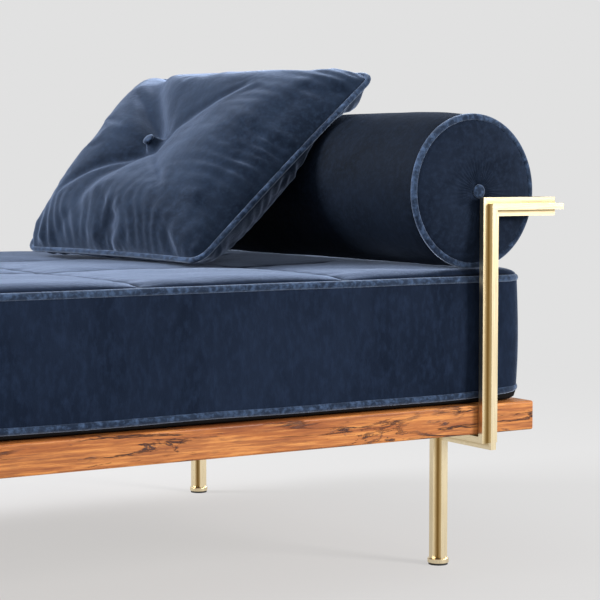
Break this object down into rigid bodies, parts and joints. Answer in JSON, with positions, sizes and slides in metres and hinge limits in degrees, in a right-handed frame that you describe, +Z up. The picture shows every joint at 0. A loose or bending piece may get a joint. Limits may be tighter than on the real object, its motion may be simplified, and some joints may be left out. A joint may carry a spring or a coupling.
{
  "type": "daybed",
  "caption": "Low upholstered daybed: tufted velvet mattress on a hardwood platform, plus-section brass legs and open arms, a bolster inside each arm and a loose pillow.",
  "frame": {"origin": "on the floor, under the middle of the bed", "axes": "+X along the length towards the end with the pillow, +Y from the front to the back, +Z up"},
  "size_m": [1.974, 1.007, 0.7643],
  "materials": {
    "brass": "satin",
    "hardwood": "oiled",
    "slat_wood": "planed",
    "steel": "zinc plated",
    "rubber": "matt",
    "velvet": "velvet pile"
  },
  "bodies": {
    "frame": {"leg_front_left": "brass", "lower_arm_front_left": "brass", "post_front_left": "brass", "side_bar_front_left": "brass", "mounting_plate_front_left": "brass", "leg_front_right": "brass", "lower_arm_front_right": "brass", "post_front_right": "brass", "side_bar_front_right": "brass", "mounting_plate_front_right": "brass", "leg_rear_left": "brass", "lower_arm_rear_left": "brass", "post_rear_left": "brass", "side_bar_rear_left": "brass", "mounting_plate_rear_left": "brass", "leg_rear_right": "brass", "lower_arm_rear_right": "brass", "post_rear_right": "brass", "side_bar_rear_right": "brass", "mounting_plate_rear_right": "brass", "cross_bar_left": "brass", "cross_bar_right": "brass", "front_rail": "hardwood", "rear_rail": "hardwood", "end_rail_left": "hardwood", "end_rail_right": "hardwood", "front_ledger": "slat_wood", "rear_ledger": "slat_wood", "middle_bearer": "slat_wood", "frame_dowels": "slat_wood", "slat_1": "slat_wood", "slat_2": "slat_wood", "slat_3": "slat_wood", "slat_4": "slat_wood", "slat_5": "slat_wood", "slat_6": "slat_wood", "slat_7": "slat_wood", "slat_8": "slat_wood", "plate_screws": "steel", "ledger_screws": "steel"},
    "mattress": {"mattress": "velvet"},
    "bolster_left": {"bolster_left": "velvet", "bolster_left_buttons": "velvet"},
    "bolster_right": {"bolster_right": "velvet", "bolster_right_buttons": "velvet"},
    "pillow": {"pillow": "velvet", "pillow_buttons": "velvet"},
    "stud_front_left": {"foot_stud_front_left": "steel"},
    "foot_front_left": {"foot_disc_front_left": "brass", "foot_pad_front_left": "rubber"},
    "stud_front_right": {"foot_stud_front_right": "steel"},
    "foot_front_right": {"foot_disc_front_right": "brass", "foot_pad_front_right": "rubber"},
    "stud_rear_left": {"foot_stud_rear_left": "steel"},
    "foot_rear_left": {"foot_disc_rear_left": "brass", "foot_pad_rear_left": "rubber"},
    "stud_rear_right": {"foot_stud_rear_right": "steel"},
    "foot_rear_right": {"foot_disc_rear_right": "brass", "foot_pad_rear_right": "rubber"}
  },
  "joints": [
    {"name": "mattress_lift", "type": "slide", "parent": "frame", "child": "mattress", "axis": [0, 0, 1], "range_m": [0, 0.35]},
    {"name": "bolster_left_lift", "type": "slide", "parent": "mattress", "child": "bolster_left", "axis": [0, 0, 1], "range_m": [0, 0.25]},
    {"name": "bolster_right_lift", "type": "slide", "parent": "mattress", "child": "bolster_right", "axis": [0, 0, 1], "range_m": [0, 0.25]},
    {"name": "pillow_lift", "type": "slide", "parent": "bolster_right", "child": "pillow", "axis": [-0.6826, -0.129, 0.7193], "range_m": [0, 0.25]},
    {"name": "foot_front_left_height", "type": "slide", "parent": "frame", "child": "stud_front_left", "axis": [0, 0, -1], "range_m": [0, 0.006]},
    {"name": "foot_front_left_turn", "type": "hinge", "parent": "stud_front_left", "child": "foot_front_left", "pos_m": [-0.861, -0.371, 0.005], "axis": [0, 0, -1], "range_deg": [0, 2160]},
    {"name": "foot_front_right_height", "type": "slide", "parent": "frame", "child": "stud_front_right", "axis": [0, 0, -1], "range_m": [0, 0.006]},
    {"name": "foot_front_right_turn", "type": "hinge", "parent": "stud_front_right", "child": "foot_front_right", "pos_m": [0.861, -0.371, 0.005], "axis": [0, 0, -1], "range_deg": [0, 2160]},
    {"name": "foot_rear_left_height", "type": "slide", "parent": "frame", "child": "stud_rear_left", "axis": [0, 0, -1], "range_m": [0, 0.006]},
    {"name": "foot_rear_left_turn", "type": "hinge", "parent": "stud_rear_left", "child": "foot_rear_left", "pos_m": [-0.861, 0.371, 0.005], "axis": [0, 0, -1], "range_deg": [0, 2160]},
    {"name": "foot_rear_right_height", "type": "slide", "parent": "frame", "child": "stud_rear_right", "axis": [0, 0, -1], "range_m": [0, 0.006]},
    {"name": "foot_rear_right_turn", "type": "hinge", "parent": "stud_rear_right", "child": "foot_rear_right", "pos_m": [0.861, 0.371, 0.005], "axis": [0, 0, -1], "range_deg": [0, 2160]}
  ],
  "couplings": [
    {"joint": "foot_front_left_height", "follows": "foot_front_left_turn", "m_per_rad": 0.00015915},
    {"joint": "foot_front_right_height", "follows": "foot_front_right_turn", "m_per_rad": 0.00015915},
    {"joint": "foot_rear_left_height", "follows": "foot_rear_left_turn", "m_per_rad": 0.00015915},
    {"joint": "foot_rear_right_height", "follows": "foot_rear_right_turn", "m_per_rad": 0.00015915}
  ]
}
